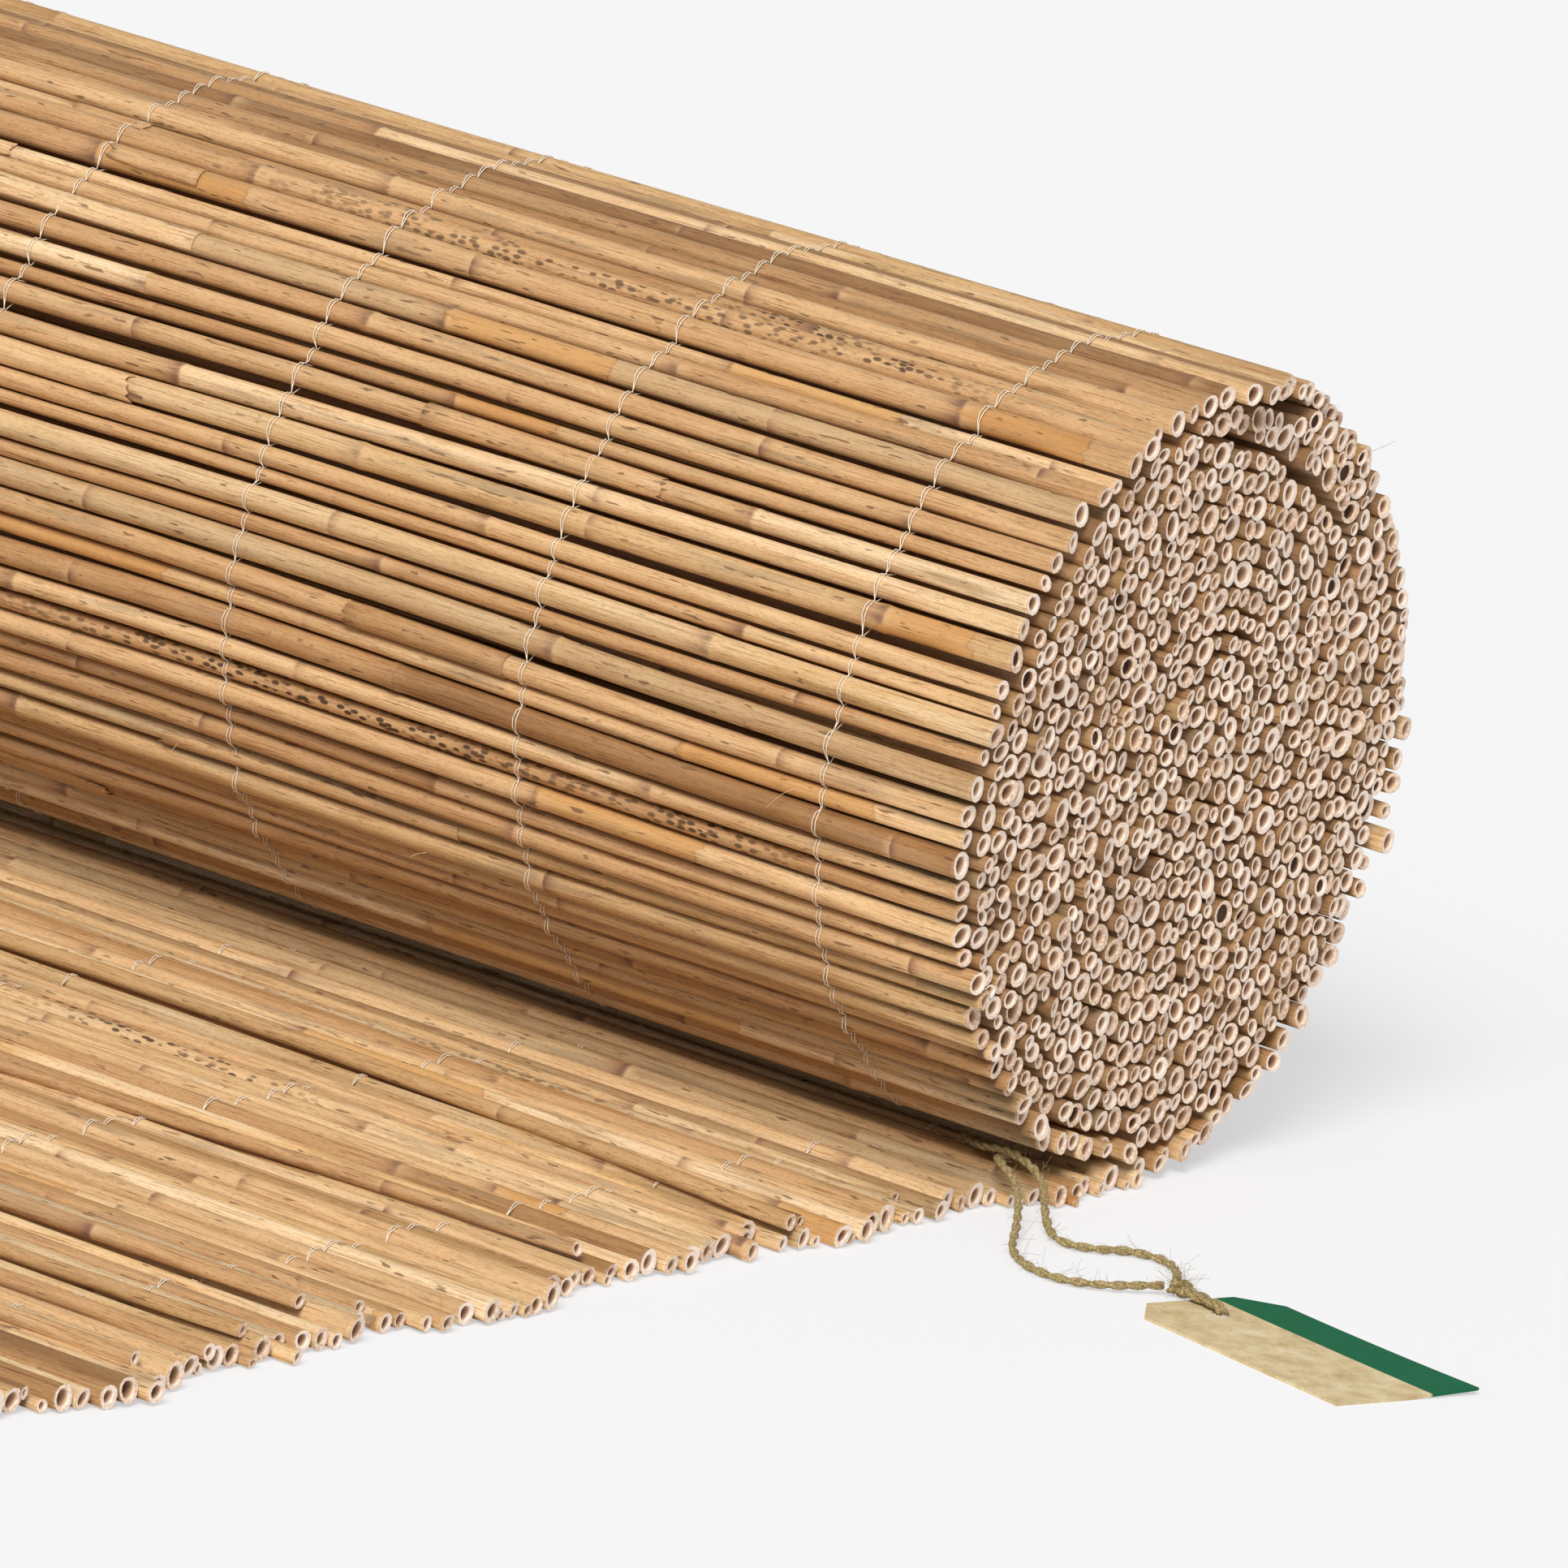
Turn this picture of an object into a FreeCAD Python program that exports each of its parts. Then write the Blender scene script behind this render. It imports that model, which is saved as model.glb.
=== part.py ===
import FreeCAD, Part
import os
from math import asin, cos, pi, radians, sin, tan

# Reed screening roll, in millimetres. The roll's axis runs along X, with the end that is
# seen first at +X. The floor is z = 0, and the loose tail of the mat lies on it towards -Y.

# Mat
MAT_HEIGHT = 1000.0       # length of a reed, the height of the fence
TAIL_LENGTH = 600.0       # mat that lies unrolled on the floor
SEAT = 0.3                # clearance between pieces that lie on each other

# Roll
ROLL_RADIUS = 114.0       # outside of the outer turn's first half
TURN_PITCH = 7.2          # from one turn to the next
EYE_RADIUS = 5.0          # where the innermost turn begins
TURN_GAP = 1.0            # slit between two turns, seen on both ends
SLIT_DEPTH = 12.0         # how far the slit is cut into each end
CORE_RECESS = 6.0         # the inner turns' +X end lies behind the outer turn's
OUTLINE_FLATS = 16        # flats on half a turn of the core's outside
SLIT_FLATS = 13           # the same for the slit, and fewer further in

# Reeds
FIRST_REED = 3            # where the unordered widths begin, a wide one under the roll
REED_MIN = 4.6            # across the flats
REED_MAX = 6.7
REED_TAPER = 0.08         # share of the width lost from butt to tip
WALL_SHARE = 0.2          # wall thickness as a share of the width
REED_SIDES = 6
BORE_SIDES = 4
END_STAGGER = 4.0         # how far a reed's ends stray from the mat's edge
TAIL_GAP = 0.6            # widest gap between reeds of the tail

# Outer turn, in degrees from the bottom round the roll
LOOSE_FROM = 36.0         # where it has sprung open
LOOSE_TO = 118.0
LOOSE_GAP = 2.2           # widest gap between its reeds
LOOSE_REACH = 3.0         # how far its reeds have slid out at the +X end
SUNK_FROM = 100.0         # where its reeds have slid in
SUNK_TO = 168.0
SUNK_DEPTH = 13.0

# Binding threads
THREAD_PITCH = 100.0      # from one row to the next
THREAD_WIDTH = 1.2
THREAD_THICKNESS = 0.5
THREAD_FLATS = 12         # on half a turn round the roll
THREAD_FROM = 12.0        # degrees round the roll from the bottom
THREAD_TO = 345.0
THREAD_CLEAR = 30.0       # where the tail's thread goes under the roll

# Hang tag, a card that lies on the floor by the mat's edge
TAG_LENGTH = 84.0
TAG_WIDTH = 52.0
TAG_THICKNESS = 0.8
TAG_CLIP = 10.0           # cut off each corner beside the hole
TAG_TURN = -14.0          # degrees from X
EYELET_X = 587.0
EYELET_Y = -88.0
EYELET_DIAMETER = 5.0
EYELET_SIDES = 10
EYELET_INSET = 12.0       # from the card's end to the hole's centre

# String of the hang tag: two strands from under the roll to a knot beside the card
STRING_DIAMETER = 2.4
STRING_SIDES = 5
KNOT_DIAMETER = 5.6
KNOT_LENGTH = 7.0
KNOT_FROM_EYELET = 17.0   # between the centres of the knot and the hole
FRONT_STRAND = ((480, -27, 7.3), (483, -41, 7.8), (490, -55, 12.2), (506, -67, 10.8),
                (517, -82, 4.2), (525, -97, 1.6), (537, -107, 1.5), (550, -108, 1.5),
                (560, -99, 1.8), (567.5, -87, 2.8))
REAR_STRAND = ((462, -27, 7.3), (471, -37, 7.8), (487, -44, 12.2), (505, -53, 10.8),
               (515, -66, 4.2), (525, -76, 1.6), (535, -73, 1.5), (541, -62, 1.5),
               (552, -60, 1.5), (561, -69, 1.8), (567.5, -80.5, 2.8))

HALF_HEIGHT = MAT_HEIGHT / 2
HALF_PITCH = TURN_PITCH / 2
CORE_START = 2            # half turn, counted inwards, with which the core begins


def vary(index, rate):
    """Even but unordered spread of values from 0 to 1."""
    return (index * rate) % 1.0


def hump(degrees, start, end):
    """Rises from 0 to 1 and falls back between two angles."""
    return sin(pi * (degrees - start) / (end - start)) if start < degrees < end else 0.0


def on_roll(degrees, number, inward=0.0):
    """Point (y, z) on a half turn, by its angle from the bottom.

    Half turns count inwards from the outer one. Their centres lie in turn at the roll's
    axis and half a turn's pitch above it, which winds them into one spiral.
    """
    centre = ROLL_RADIUS + (HALF_PITCH if number % 2 else 0.0)
    reach = ROLL_RADIUS - number * HALF_PITCH - inward
    return reach * sin(radians(degrees)), centre - reach * cos(radians(degrees))


def winding(numbers, flats, inward=0.0, start=None, end=None):
    """Corners along a row of half turns, each drawn with its own number of flats."""
    points = []
    for number in numbers:
        first = 180.0 * (number % 2)
        low = first if start is None else max(first, start)
        high = first + 180.0 if end is None else min(first + 180.0, end)
        count = max(3, round(flats(number) * (high - low) / 180.0))
        for i in range(count + 1):
            y, z = on_roll(low + (high - low) * i / count, number, inward)
            points.append(FreeCAD.Vector(0, y, z))
        if number != numbers[-1]:
            points.pop()
    return points


def plate(points, x, thickness):
    """Outline in the YZ plane, made as thick along X as asked."""
    face = Part.Face(Part.makePolygon(points + points[:1]))
    face.translate(FreeCAD.Vector(x, 0, 0))
    return face.extrude(FreeCAD.Vector(thickness, 0, 0))


def slit_flats(number):
    """Fewer flats further in, where a turn is small."""
    return max(4, round(SLIT_FLATS * (ROLL_RADIUS - number * HALF_PITCH) / ROLL_RADIUS))


def roll_core():
    """Inner turns as one turned solid, with the slit between its turns cut in both ends."""
    outline = winding((CORE_START, CORE_START + 1), lambda number: OUTLINE_FLATS)
    core = plate(outline, -HALF_HEIGHT, MAT_HEIGHT - CORE_RECESS)
    last = int((ROLL_RADIUS - EYE_RADIUS) / HALF_PITCH)
    inner_turns = range(CORE_START + 2, last)
    slit = winding(inner_turns, slit_flats, -TURN_GAP)
    slit += reversed(winding(inner_turns, slit_flats))
    for end in (-HALF_HEIGHT, HALF_HEIGHT - CORE_RECESS):
        core = core.cut(plate(slit, end - SLIT_DEPTH, 2 * SLIT_DEPTH))
    return core


def ring(sides, width, share, x, seat, turned):
    """Corners of a regular outline, centred in a reed that lies with one flat on its seat."""
    y = seat[0] + width / 2 * sin(turned)
    z = seat[1] - width / 2 * cos(turned)
    radius = width * share / 2 / cos(pi / sides)
    turns = [turned + pi * (2 * corner + 1) / sides - pi / 2 for corner in range(sides)]
    return [FreeCAD.Vector(x, y + radius * cos(turn), z + radius * sin(turn)) for turn in turns]


def tapered_bar(near, far):
    """Solid bar between two outlines of as many corners."""
    faces = [Part.Face(Part.makePolygon(points + points[:1])) for points in (near, far)]
    for i in range(len(near)):
        side = [near[i], near[i - 1], far[i - 1], far[i], near[i]]
        faces.append(Part.Face(Part.makePolygon(side)))
    shell = Part.makeShell(faces)
    shell.sewShape()
    return Part.makeSolid(shell)


def reed(seat, turned, butt, index, slide=0.0):
    """Hollow reed with its butt at one end, lying along its seat with all its length."""
    tip = butt * (1 - REED_TAPER)
    wide, narrow = (butt, tip) if index % 2 else (tip, butt)
    x_near = slide + HALF_HEIGHT + END_STAGGER * (vary(index, 0.377) - 0.5)
    x_far = slide - HALF_HEIGHT + END_STAGGER * (vary(index, 0.713) - 0.5)
    bars = []
    for sides, share in ((REED_SIDES, 1.0), (BORE_SIDES, 1 - 2 * WALL_SHARE)):
        bars.append(tapered_bar(ring(sides, wide, share, x_near, seat, turned),
                                ring(sides, narrow, share, x_far, seat, turned)))
    return bars[0].cut(bars[1]).Solids[0]


def reed_width(index):
    return REED_MIN + (REED_MAX - REED_MIN) * vary(index, 0.618)


def corner_width(width):
    """Width of a reed along the mat, from corner to corner."""
    return width / cos(pi / REED_SIDES)


def tail_reeds():
    """Reeds that lie on the floor, from under the roll's axis out to the mat's end."""
    reeds = []
    y = 0.0
    index = FIRST_REED
    while y > -TAIL_LENGTH:
        width = reed_width(index)
        reeds.append(reed((y, 0.0), pi, width, index))
        y -= (corner_width(width) + corner_width(reed_width(index + 1))) / 2
        y -= SEAT + (TAIL_GAP - SEAT) * vary(index, 0.271)
        index += 1
    return reeds


def outer_turn_reeds():
    """Reeds of the outer turn, each seated on the core, from the bottom once round."""
    reeds = []
    index = 1
    before = reed_width(FIRST_REED)
    degrees = 0.0
    while True:
        width = reed_width(index * 3)
        loose = hump(degrees, LOOSE_FROM, LOOSE_TO)
        step = (corner_width(before) + corner_width(width)) / 2 + SEAT
        step += LOOSE_GAP * loose * vary(index, 0.443)
        seat_radius = ROLL_RADIUS - TURN_PITCH - (HALF_PITCH if degrees >= 180.0 else 0.0)
        degrees += 2 * asin(step / (2 * seat_radius + REED_MIN)) * 180 / pi
        room = asin(corner_width(width) / 2 / seat_radius) * 180 / pi
        if degrees + room > 360.0:
            return reeds
        seat = on_roll(degrees, 0 if degrees < 180.0 else 1, TURN_PITCH - SEAT)
        slide = LOOSE_REACH * loose * vary(index, 0.831)
        slide -= SUNK_DEPTH * hump(degrees, SUNK_FROM, SUNK_TO)
        reeds.append(reed(seat, radians(degrees), width, index, slide))
        before = width
        index += 1


def strand(x):
    """One row's thread: round the outer turn, and over the reeds of the tail."""
    half_step = radians(90.0 / THREAD_FLATS)
    over_reeds = TURN_PITCH - SEAT - REED_MAX - SEAT / 2
    inner = over_reeds - ROLL_RADIUS * (1 / cos(half_step) - 1)
    both = [winding((0, 1), lambda number: THREAD_FLATS, inward, THREAD_FROM, THREAD_TO)
            for inward in (inner - THREAD_THICKNESS, inner)]
    round_roll = plate(both[0] + both[1][::-1], x, THREAD_WIDTH)
    on_tail = Part.makeBox(THREAD_WIDTH, TAIL_LENGTH - THREAD_CLEAR, THREAD_THICKNESS,
                           FreeCAD.Vector(x, -TAIL_LENGTH, REED_MAX + SEAT / 2))
    return [round_roll, on_tail]


def binding_threads():
    rows = round(MAT_HEIGHT / THREAD_PITCH)
    first = -(rows - 1) * THREAD_PITCH / 2 - THREAD_WIDTH / 2
    return [piece for row in range(rows) for piece in strand(first + row * THREAD_PITCH)]


def prism(sides, diameter, start, end):
    """Few-sided bar along one straight line."""
    corner = FreeCAD.Vector(diameter / 2, 0, 0)
    spins = [FreeCAD.Rotation(FreeCAD.Vector(0, 0, 1), 360 * i / sides) for i in range(sides)]
    corners = [spin.multVec(corner) for spin in spins]
    face = Part.Face(Part.makePolygon(corners + corners[:1]))
    turned = FreeCAD.Rotation(FreeCAD.Vector(0, 0, 1), end - start)
    face.Placement = FreeCAD.Placement(start, turned)
    return face.extrude(end - start)


def by_eyelet(shape):
    """Turns a shape drawn round the eyelet and puts it in its place on the floor."""
    shape.rotate(FreeCAD.Vector(0, 0, 0), FreeCAD.Vector(0, 0, 1), TAG_TURN)
    shape.translate(FreeCAD.Vector(EYELET_X, EYELET_Y, 0))
    return shape


def hang_tag():
    """Card with two clipped corners and a hole near its clipped end."""
    low, high = -EYELET_INSET, TAG_LENGTH - EYELET_INSET
    side = TAG_WIDTH / 2
    outline = [(low + TAG_CLIP, -side), (high, -side), (high, side), (low + TAG_CLIP, side),
               (low, side - TAG_CLIP), (low, TAG_CLIP - side)]
    points = [FreeCAD.Vector(x, y, 0) for x, y in outline]
    up = FreeCAD.Vector(0, 0, TAG_THICKNESS)
    card = Part.Face(Part.makePolygon(points + points[:1])).extrude(up)
    return by_eyelet(card.cut(prism(EYELET_SIDES, EYELET_DIAMETER, FreeCAD.Vector(), up)))


def string_knot():
    """Knot beside the card, with the doubled string that goes from it into the eyelet."""
    knot_z = KNOT_DIAMETER / 2
    loop_z = TAG_THICKNESS + SEAT + STRING_DIAMETER / 2
    middle = FreeCAD.Vector(-KNOT_FROM_EYELET, 0, knot_z)
    half = FreeCAD.Vector(KNOT_LENGTH / 2, 0, 0)
    knot = prism(STRING_SIDES, KNOT_DIAMETER, middle - half, middle + half)
    loop = prism(STRING_SIDES, STRING_DIAMETER, FreeCAD.Vector(-KNOT_FROM_EYELET, 0, loop_z),
                 FreeCAD.Vector(STRING_DIAMETER / 2, 0, loop_z))
    end = prism(STRING_SIDES, STRING_DIAMETER, FreeCAD.Vector(0, 0, SEAT),
                FreeCAD.Vector(0, 0, loop_z))
    return by_eyelet(knot.fuse([loop, end]).removeSplitter())


def string_strand(name, points, knot):
    """Tube along straight runs joined by tangent arcs, fitted to the knot at its end."""
    route = [FreeCAD.Vector(*point) for point in points]
    edges = []
    radii = []
    start = route[0]
    for before, corner, after in zip(route, route[1:], route[2:]):
        back, ahead = before - corner, after - corner
        trim = 0.45 * min(back.Length, ahead.Length)
        half_turn = (pi - back.getAngle(ahead)) / 2
        radius = trim / tan(half_turn)
        back.normalize()
        ahead.normalize()
        bisector = (back + ahead).normalize()
        middle = corner + bisector * (radius / cos(half_turn) - radius)
        first, last = corner + back * trim, corner + ahead * trim
        edges.append(Part.LineSegment(start, first).toShape())
        edges.append(Part.Arc(first, middle, last).toShape())
        radii.append(radius)
        start = last
    edges.append(Part.LineSegment(start, route[-1]).toShape())
    path = Part.Wire(edges)
    section = prism(STRING_SIDES, STRING_DIAMETER, route[0], route[1]).Faces[-2].OuterWire
    tube = path.makePipeShell([section], True, True)
    ideal = Part.Face(section).Area * path.Length
    print(name, "radii", [round(radius, 1) for radius in radii], "length", round(path.Length, 1),
          "volume over section times length", round(tube.Volume / ideal, 4))
    return tube.cut(knot)


KNOT = string_knot()
NODES = {
    "roll_core": [roll_core()],
    "outer_turn_reeds": outer_turn_reeds(),
    "tail_reeds": tail_reeds(),
    "binding_threads": binding_threads(),
    "hang_tag": [hang_tag()],
    "string_knot": [KNOT],
    "string_front_strand": [string_strand("front strand", FRONT_STRAND, KNOT)],
    "string_rear_strand": [string_strand("rear strand", REAR_STRAND, KNOT)],
}

os.makedirs("parts", exist_ok=True)
for node, solids in NODES.items():
    shape = solids[0] if len(solids) == 1 else Part.makeCompound(solids)
    shape.exportStep("parts/" + node + ".step")
    print(node, sum(len(s.Solids) for s in solids), "solids",
          round(sum(s.Volume for s in solids)), "mm3", "valid", all(s.isValid() for s in solids))
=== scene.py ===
import math
import bpy
import numpy as np
from mathutils import Matrix, Vector


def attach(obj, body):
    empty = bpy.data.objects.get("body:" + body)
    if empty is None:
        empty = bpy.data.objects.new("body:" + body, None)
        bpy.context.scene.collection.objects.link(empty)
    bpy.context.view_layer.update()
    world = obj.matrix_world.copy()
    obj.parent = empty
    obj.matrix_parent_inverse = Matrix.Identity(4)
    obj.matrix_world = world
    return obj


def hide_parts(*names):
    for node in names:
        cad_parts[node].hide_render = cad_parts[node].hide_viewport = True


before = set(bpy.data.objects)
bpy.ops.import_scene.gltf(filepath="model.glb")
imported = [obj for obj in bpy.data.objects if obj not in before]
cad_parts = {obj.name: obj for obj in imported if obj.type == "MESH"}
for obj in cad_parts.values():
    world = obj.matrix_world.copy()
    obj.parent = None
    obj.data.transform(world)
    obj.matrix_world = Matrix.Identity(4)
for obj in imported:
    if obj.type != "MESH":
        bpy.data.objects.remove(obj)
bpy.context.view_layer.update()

# Reeds. Cut and dried stalks of common reed, hollow and a metre long, with a square cut at
# both ends and a wall about a fifth of their width. Leaf sheath hides most of their nodes,
# so fewer are drawn than the one in every 12 to 25 cm that a reed has.
MM = 0.001
HALF = 500 * MM
# no far end lies further back than this
FAR_LIMIT = -513 * MM
REED_SIDES = 12
draw = np.random.default_rng(4884)
# stations every 10 mm, of which one is at the middle and one at the seen end
GRID = np.linspace(-530 * MM, 530 * MM, 107)
MIDDLE, SEEN_END = 53, 103


def waves(count, lengths):
    """Smooth wander of each reed at every station of the grid: the mean of one sine for each
    wavelength in mm, with phases drawn for that reed."""
    phase = draw.uniform(0, 2 * np.pi, (count, len(lengths)))
    rows = [np.sin(2 * np.pi * GRID / (length * MM) + phase[:, i, None])
            for i, length in enumerate(lengths)]
    return np.mean(rows, axis=0)


def at(grid_values, x):
    """Values drawn on the grid of stations, read at x by straight lines between them."""
    place = (x - GRID[0]) / (GRID[1] - GRID[0])
    low = np.clip(place.astype(int), 0, len(GRID) - 2)
    share = place - low
    return (np.take_along_axis(grid_values, low, 1) * (1 - share)
            + np.take_along_axis(grid_values, low + 1, 1) * share)


def rings_to_mesh(name, points, materials, ring_material, marks, ring_flat=None, caps=True):
    """Mesh of like bodies, each a row of closed rings. points is bodies x rings x sides x 3;
    quads join each ring to the next, and with caps one face closes each end of the row. No
    point goes under the floor."""
    points = np.maximum(points, (-np.inf, -np.inf, 0))
    bodies, rings, sides = points.shape[:3]
    index = np.arange(bodies * rings * sides).reshape(bodies, rings, sides)
    turned = np.roll(index, -1, axis=2)
    quads = np.stack([index[:, :-1], turned[:, :-1], turned[:, 1:], index[:, 1:]], -1)
    corners = [quads.reshape(-1)]
    sizes = [np.full(bodies * (rings - 1) * sides, 4)]
    whole = (bodies, rings - 1, sides)
    kinds = [np.broadcast_to(np.array(ring_material)[None, :, None], whole).reshape(-1)]
    flats = np.zeros(rings - 1, bool) if ring_flat is None else np.array(ring_flat, bool)
    flats = [np.broadcast_to(flats[None, :, None], whole).reshape(-1)]
    if caps:
        corners += [index[:, 0, ::-1].reshape(-1), index[:, -1].reshape(-1)]
        sizes += [np.full(2 * bodies, sides)]
        kinds += [np.full(2 * bodies, ring_material[0])]
        flats += [np.ones(2 * bodies, bool)]
    corners, sizes, kinds, flats = (np.concatenate(part) for part in (corners, sizes, kinds, flats))
    mesh = bpy.data.meshes.new(name)
    mesh.vertices.add(bodies * rings * sides)
    mesh.vertices.foreach_set("co", points.astype(np.float32).ravel())
    mesh.loops.add(len(corners))
    mesh.loops.foreach_set("vertex_index", corners.astype(np.int32))
    mesh.polygons.add(len(sizes))
    mesh.polygons.foreach_set("loop_start", (np.cumsum(sizes) - sizes).astype(np.int32))
    mesh.update(calc_edges=True)
    mesh.polygons.foreach_set("material_index", kinds.astype(np.int32))
    mesh.polygons.foreach_set("use_smooth", ~flats)
    for key, values in marks.items():
        layer = mesh.attributes.new(key, "FLOAT", "POINT")
        values = np.broadcast_to(values, (bodies, rings, sides)).astype(np.float32)
        layer.data.foreach_set("value", values.ravel())
    mesh.validate()
    for material in materials:
        mesh.materials.append(material)
    made = bpy.data.objects.new(name, mesh)
    bpy.context.scene.collection.objects.link(made)
    return made


def paint(code, strength=1.0):
    """Hex sRGB colour as linear RGBA, with its strength as alpha."""
    channels = [int(code[i:i + 2], 16) / 255 for i in (1, 3, 5)]
    linear = [c / 12.92 if c <= 0.04045 else ((c + 0.055) / 1.055) ** 2.4 for c in channels]
    return (*linear, strength)


def add_node(tree, kind, inputs=(), stops=(), **settings):
    """Adds a shader node, sets or links its inputs, and fills its colour ramp where it has
    stops."""
    made = tree.nodes.new("ShaderNode" + kind)
    for key, value in settings.items():
        setattr(made, key, value)
    for key, value in dict(inputs).items():
        if isinstance(value, bpy.types.NodeSocket):
            tree.links.new(value, made.inputs[key])
        else:
            made.inputs[key].default_value = value
    for i, (place, colour) in enumerate(stops):
        ramp = made.color_ramp.elements
        stop = ramp[i] if i < min(2, len(ramp)) else ramp.new(place)
        stop.position = place
        stop.color = colour
    return made


def new_material(name):
    """Plain material, with its node tree and its shader."""
    material = bpy.data.materials.new(name)
    material.use_nodes = True
    tree = material.node_tree
    return material, tree, tree.nodes["Principled BSDF"]


WHITE = (1, 1, 1, 1)
# settings of a Mix node: one colour laid over the other, and one tinted by the other
BLEND = {"data_type": "RGBA"}
TINT = {"data_type": "RGBA", "blend_type": "MULTIPLY"}


# Dried reed skin. Most of each stalk is wrapped in its leaf sheath, matt and pale straw with
# short brown fibre streaks; past some nodes it is bare, smoother and golden. Each node is a
# thin brown line, and some stalks are weathered or specked with mould. Fibre and grit are
# drawn a few times as coarse as the real ones, so that they show.
reed_skin, tree, shader = new_material("reed_skin_dried_straw")
place = add_node(tree, "TexCoord").outputs["Object"]
tone = add_node(tree, "Attribute", attribute_name="tone").outputs["Fac"]
seed = add_node(tree, "Attribute", attribute_name="seed").outputs["Fac"]
ring = add_node(tree, "Attribute", attribute_name="node_mm").outputs["Fac"]
bare = add_node(tree, "Attribute", attribute_name="sheath_mm").outputs["Fac"]
specks = add_node(tree, "Attribute", attribute_name="specks").outputs["Fac"]
shift = add_node(tree, "CombineXYZ", {"X": seed, "Y": seed, "Z": seed})
shift = add_node(tree, "VectorMath", {0: shift.outputs[0], 1: (7.0, 3.0, 5.0)},
                 operation="MULTIPLY")
place = add_node(tree, "VectorMath", {0: place, 1: shift.outputs[0]}).outputs[0]
# patches of 5 cm along the stalk and half its width across
broad = add_node(tree, "Mapping", {"Vector": place, "Scale": (20, 260, 260)})
broad = add_node(tree, "TexNoise", {"Vector": broad.outputs[0], "Scale": 1.0, "Detail": 3.0})
# fibre streaks of 0.4 mm across and 2 cm along, and dark scraps of sheath of 1 by 6 mm
fine = add_node(tree, "Mapping", {"Vector": place, "Scale": (50, 2300, 2300)})
fine = add_node(tree, "TexNoise",
                {"Vector": fine.outputs[0], "Scale": 1.0, "Detail": 4.0, "Roughness": 0.6})
scrap = add_node(tree, "Mapping", {"Vector": place, "Scale": (150, 900, 900)})
scrap = add_node(tree, "TexNoise", {"Vector": scrap.outputs[0], "Scale": 1.0, "Detail": 1.0})
# colour of the sheath, by the stalk's tone, and of bare lengths
sway = add_node(tree, "Math", {0: broad.outputs["Fac"], 1: 0.5, 2: -0.25},
                operation="MULTIPLY_ADD")
tone_here = add_node(tree, "Math", {0: tone, 1: sway.outputs[0]}, use_clamp=True)
straw = add_node(tree, "ValToRGB", {"Fac": tone_here.outputs[0]}, stops=(
    (0.0, paint("#966E44")), (0.22, paint("#B98C5B")), (0.45, paint("#D2A776")),
    (0.7, paint("#EAC492")), (0.88, paint("#FCE0B6")), (1.0, paint("#EABF84"))))
gold = add_node(tree, "ValToRGB", {"Fac": tone_here.outputs[0]}, stops=(
    (0.1, paint("#B07C46")), (0.5, paint("#CF9A5E")), (0.9, paint("#E2B478"))))
# some stalks are olive and some are grey, by their seed
hue = add_node(tree, "ValToRGB", {"Fac": seed}, stops=(
    (0.0, paint("#C4A06A", 0.45)), (0.16, paint("#C4A06A", 0.35)), (0.2, paint("#C4A06A", 0.0)),
    (0.86, paint("#B29A76", 0.0)), (0.9, paint("#B29A76", 0.35)), (1.0, paint("#A08A66", 0.55))))
straw = add_node(tree, "Mix", {
    "Factor": hue.outputs["Alpha"], 6: straw.outputs[0], 7: hue.outputs[0]}, **BLEND)
# a bare length, with the darker torn rim of the sheath at its ends
edge = add_node(tree, "Math", {0: broad.outputs["Fac"], 1: 9.0, 2: -4.5},
                operation="MULTIPLY_ADD")
edge = add_node(tree, "Math", {0: bare, 1: edge.outputs[0]})
is_bare = add_node(tree, "MapRange", {"Value": edge.outputs[0], 1: 1.0, 2: -1.0})
rim = add_node(tree, "MapRange", {"Value": edge.outputs[0], 1: -2.0, 2: 2.0})
rim = add_node(tree, "ValToRGB", {"Fac": rim.outputs[0]}, stops=(
    (0.3, WHITE), (0.47, paint("#A88460")), (0.53, paint("#A88460")), (0.6, WHITE)))
skin = add_node(tree, "Mix", {
    "Factor": is_bare.outputs[0], 6: straw.outputs[2], 7: gold.outputs[0]}, **BLEND)
skin = add_node(tree, "Mix", {"Factor": 0.35, 6: skin.outputs[2], 7: rim.outputs[0]}, **TINT)
# streaks and grit are fainter on bare lengths
covered = add_node(tree, "MapRange", {"Value": is_bare.outputs[0], 3: 0.85, 4: 0.5})
streak = add_node(tree, "ValToRGB", {"Fac": fine.outputs["Fac"]}, stops=(
    (0.24, paint("#735336")), (0.32, paint("#B7997A")), (0.46, paint("#F6EFE6")), (0.66, WHITE)))
skin = add_node(tree, "Mix", {
    "Factor": covered.outputs[0], 6: skin.outputs[2], 7: streak.outputs[0]}, **TINT)
# grit of the sheath, 0.25 mm across and 2 mm along
grit = add_node(tree, "Mapping", {"Vector": place, "Scale": (500, 4200, 4200)})
grit = add_node(tree, "TexNoise",
                {"Vector": grit.outputs[0], "Scale": 1.0, "Detail": 3.0, "Roughness": 0.65})
grains = add_node(tree, "ValToRGB", {"Fac": grit.outputs["Fac"]}, stops=(
    (0.3, paint("#C8AE8C")), (0.47, WHITE)))
skin = add_node(tree, "Mix", {
    "Factor": covered.outputs[0], 6: skin.outputs[2], 7: grains.outputs[0]}, **TINT)
scraps = add_node(tree, "MapRange", {"Value": scrap.outputs["Fac"], 1: 0.66, 2: 0.7, 4: 0.8})
patchy = add_node(tree, "MapRange",
                  {"Value": broad.outputs["Fac"], 1: 0.45, 2: 0.55, 3: 0.2, 4: 1.0})
scraps = add_node(tree, "Math", {0: scraps.outputs[0], 1: patchy.outputs[0]},
                  operation="MULTIPLY")
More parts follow.
